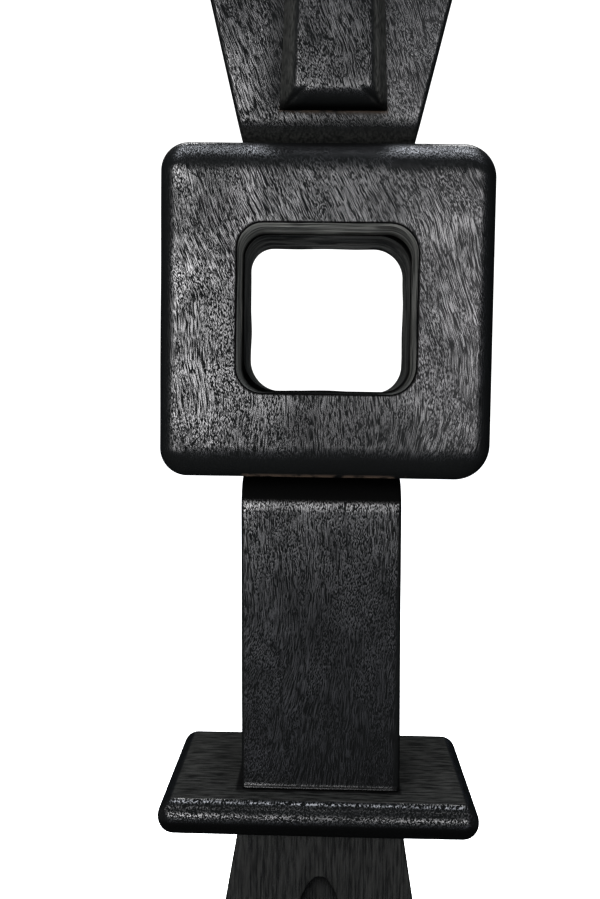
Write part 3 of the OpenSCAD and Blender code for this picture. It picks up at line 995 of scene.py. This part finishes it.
LEG_TOP_W = 83.3 * MM
LEG_SIDE_R = 2.0 * MM
NICHE_H = 153 * MM
NICHE_HALF = 33.5 * MM
NICHE_DEPTH = 12 * MM

# Places on the legs: x, z, lean of the fibres, how drawn out they are, wax
LEG_LEANS = (
    (-30, 170, 4, 0.9, 1.0), (30, 170, 0, 0.9, 1.0), (-50, 60, 6, 0.7, 1.0), (50, 60, -6, 0.7, 1.0),
)


def make_legs():
    made = wedge(LEG_HI.x - LEG_LO.x, LEG_TOP_W, LEG_LO, LEG_HI)
    round_sides(made, LEG_SIDE_R)
    mesh = even_mesh(as_object(made), VOXEL, [niche_cutter()])
    hand_finish(mesh, seed=81)
    points = get_points(mesh)
    arch = LEG_LO.z + NICHE_H * (1 - ((points[:, 0] - LEG_MID_X) / NICHE_HALF) ** 2)
    below_arch = arch - points[:, 2]
    in_niche = (points[:, 1] > LEG_LO.y + 0.5 * NICHE_DEPTH) & (points[:, 1] < 0) & (below_arch > -MM)
    shaded = in_niche * (1 - smooth_step(below_arch, 3 * MM, 12 * MM))
    steer_grain(mesh, LEG_LEANS, reach=30, seed=81, fill=0.2, dull=0.6, pooled=0.9 * shaded)
    wood = black_wood("black_wood_legs", seed=83.0, smooth_tone_and_light=0.75, tool_marks=(0.9, 0.9, 14.0))
    add_piece("leg_block_carved", mesh, wood, "black_wood", "leg_block")


def niche_cutter():
    """The arch between the legs, a parabola in the front plane."""
    below = 2 * MM
    steps = 24
    made = bmesh.new()
    rims = []
    for y in (LEG_LO.y - MM, LEG_LO.y + NICHE_DEPTH):
        rim = []
        for i in range(-steps, steps + 1):
            u = i / steps
            z = LEG_LO.z - below + (NICHE_H + below) * (1 - u * u)
            rim.append(made.verts.new((LEG_MID_X + u * NICHE_HALF, y, z)))
        rims.append(rim)
    made.faces.new(rims[0])
    made.faces.new(rims[1][::-1])
    count = 2 * steps + 1
    for i in range(count):
        j = (i + 1) % count
        made.faces.new((rims[0][j], rims[0][i], rims[1][i], rims[1][j]))
    bmesh.ops.recalc_face_normals(made, faces=made.faces)
    return as_object(made)


# ---------------------------------------------------------------- dowels, pins and pads


def turned_bar(lo, hi, flutes, flute_depth, chamfer):
    """A round bar that fills a box, with flutes and chamfered ends. It runs along the box's one
    side that differs from the other two."""
    size = hi - lo
    along = max(range(3), key=lambda i: abs(size[i] - size[(i + 1) % 3]) + abs(size[i] - size[i - 1]))
    across = [i for i in range(3) if i != along]
    radius = size[across[0]] / 2
    centre = (lo + hi) / 2
    segments = flutes * 6
    half = size[along] / 2
    stations = ((-half, radius - chamfer), (-half + chamfer, radius),
                (half - chamfer, radius), (half, radius - chamfer))
    points = []
    for height, r in stations:
        for i in range(segments):
            angle = 2 * math.pi * i / segments
            dip = flute_depth * (0.5 - 0.5 * math.cos(angle * flutes)) ** 2
            spot = [0.0, 0.0, 0.0]
            spot[along] = centre[along] + height
            spot[across[0]] = centre[across[0]] + (r - dip) * math.cos(angle)
            spot[across[1]] = centre[across[1]] + (r - dip) * math.sin(angle)
            points.append(spot)
    faces = [tuple(range(segments))[::-1], tuple(range(3 * segments, 4 * segments))]
    for ring in range(3):
        for i in range(segments):
            j = (i + 1) % segments
            a = ring * segments
            faces.append((a + i, a + j, a + segments + j, a + segments + i))
    if along == 1:
        faces = [face[::-1] for face in faces]
    return mesh_from(points, faces)


def make_dowels():
    wood = plain_wood()
    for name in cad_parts:
        if "dowel" in name or "_pin_" in name:
            mesh = turned_bar(*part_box(name), flutes=16, flute_depth=0.25 * MM, chamfer=0.8 * MM)
            add_piece(name + "_fluted", mesh, wood, "bare_wood", name)


def make_pads():
    felt = pressed_felt()
    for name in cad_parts:
        if name.startswith("felt_pad"):
            mesh = turned_bar(*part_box(name), flutes=12, flute_depth=0.05 * MM, chamfer=0.4 * MM)
            add_piece(name + "_pressed", mesh, felt, "felt", name)


make_ring()
make_head()
make_nose()
make_post()
make_plate()
make_legs()
make_dowels()
make_pads()


# ---------------------------------------------------------------- studio


def make_camera():
    data = bpy.data.cameras.new("camera")
    data.sensor_width = 36.0
    data.lens = 40.04
    data.clip_start = 0.01
    data.clip_end = 50.0
    camera = bpy.data.objects.new("camera", data)
    bpy.context.collection.objects.link(camera)
    yaw, pitch, roll = 0.0253, -0.0679, -0.0135
    look = Matrix.Rotation(yaw, 4, "Z") @ Matrix.Rotation(pitch, 4, "X") @ Matrix.Rotation(roll, 4, "Y")
    stand = Vector((0.6, -526.3, 406.6)) * MM
    camera.matrix_world = Matrix.Translation(stand) @ look @ Matrix.Rotation(math.radians(90), 4, "X")
    bpy.context.scene.camera = camera


def softbox(name, azimuth, elevation, distance, width, height, power, colour):
    """A rectangular soft light that looks at the ring. Azimuth 0 is in front, 90 to the right."""
    data = bpy.data.lights.new(name, "AREA")
    data.shape = "RECTANGLE"
    data.size = width
    data.size_y = height
    data.energy = power
    data.color = colour
    lamp = bpy.data.objects.new(name, data)
    bpy.context.collection.objects.link(lamp)
    a = math.radians(azimuth)
    e = math.radians(elevation)
    away = Vector((math.sin(a) * math.cos(e), -math.cos(a) * math.cos(e), math.sin(e)))
    lamp.location = Vector((0, 0, RING_MID_Z)) + away * distance
    lamp.rotation_mode = "QUATERNION"
    lamp.rotation_quaternion = away.to_track_quat("Z", "Y")
    lamp.visible_camera = False


def make_lights():
    softbox("left_front", azimuth=-28, elevation=7, distance=1.5, width=1.06, height=0.74,
            power=54, colour=(1.0, 0.99, 1.0))
    softbox("right_front", azimuth=18, elevation=7, distance=1.5, width=0.62, height=0.74,
            power=15, colour=(1.0, 0.99, 1.0))
    softbox("overhead", azimuth=0, elevation=74, distance=1.4, width=1.5, height=0.95,
            power=46, colour=(0.90, 0.93, 1.0))
    softbox("behind", azimuth=180, elevation=60, distance=1.8, width=1.4, height=0.6,
            power=40, colour=(1.0, 1.0, 1.0))


def make_world():
    """White where the camera looks past the figure; dim for the light that falls on it."""
    world = bpy.data.worlds.new("studio")
    bpy.context.scene.world = world
    world.use_nodes = True
    tree = world.node_tree
    tree.nodes.clear()
    dim = tree.nodes.new("ShaderNodeBackground")
    dim.inputs["Color"].default_value = (0.45, 0.68, 1.0, 1)
    dim.inputs["Strength"].default_value = 0.10
    white = tree.nodes.new("ShaderNodeBackground")
    white.inputs["Color"].default_value = (1, 1, 1, 1)
    white.inputs["Strength"].default_value = 1.1
    path = tree.nodes.new("ShaderNodeLightPath")
    mix = tree.nodes.new("ShaderNodeMixShader")
    output = tree.nodes.new("ShaderNodeOutputWorld")
    tree.links.new(path.outputs["Is Camera Ray"], mix.inputs[0])
    tree.links.new(dim.outputs[0], mix.inputs[1])
    tree.links.new(white.outputs[0], mix.inputs[2])
    tree.links.new(mix.outputs[0], output.inputs[0])


def make_floor():
    """A pale floor whose glow, a painted light, is dim near the figure's feet and rises to the white
    of the backdrop away from them.
    """
    half = 6.0
    near, far = 0.12, 0.30
    near_glow, far_glow = 0.55, 1.15
    corners = [(-half, -half, 0), (half, -half, 0), (half, half, 0), (-half, half, 0)]
    mesh = mesh_from(corners, [(0, 1, 2, 3)])
    floor = bpy.data.objects.new("floor", mesh)
    bpy.context.collection.objects.link(floor)
    material = bpy.data.materials.new("floor")
    nodes = Nodes(material)
    place = nodes.add("TexCoord").outputs["Object"]
    distance = nodes.add("VectorMath", operation="LENGTH")
    nodes.link(place, distance.inputs[0])
    glow = nodes.ramp(distance.outputs["Value"], near, far, near_glow, far_glow)
    shader = nodes.add("BsdfPrincipled")
    shader.inputs["Base Color"].default_value = (0.8, 0.8, 0.8, 1)
    shader.inputs["Roughness"].default_value = 0.9
    shader.inputs["Emission Color"].default_value = (1, 1, 1, 1)
    nodes.link(glow, shader.inputs["Emission Strength"])
    nodes.link(shader.outputs[0], nodes.add("OutputMaterial").inputs["Surface"])
    mesh.materials.append(material)
    floor.visible_glossy = False


make_camera()
make_lights()
make_world()
make_floor()
bpy.context.scene.view_settings.view_transform = "Standard"
bpy.context.scene.view_settings.look = "Medium High Contrast"
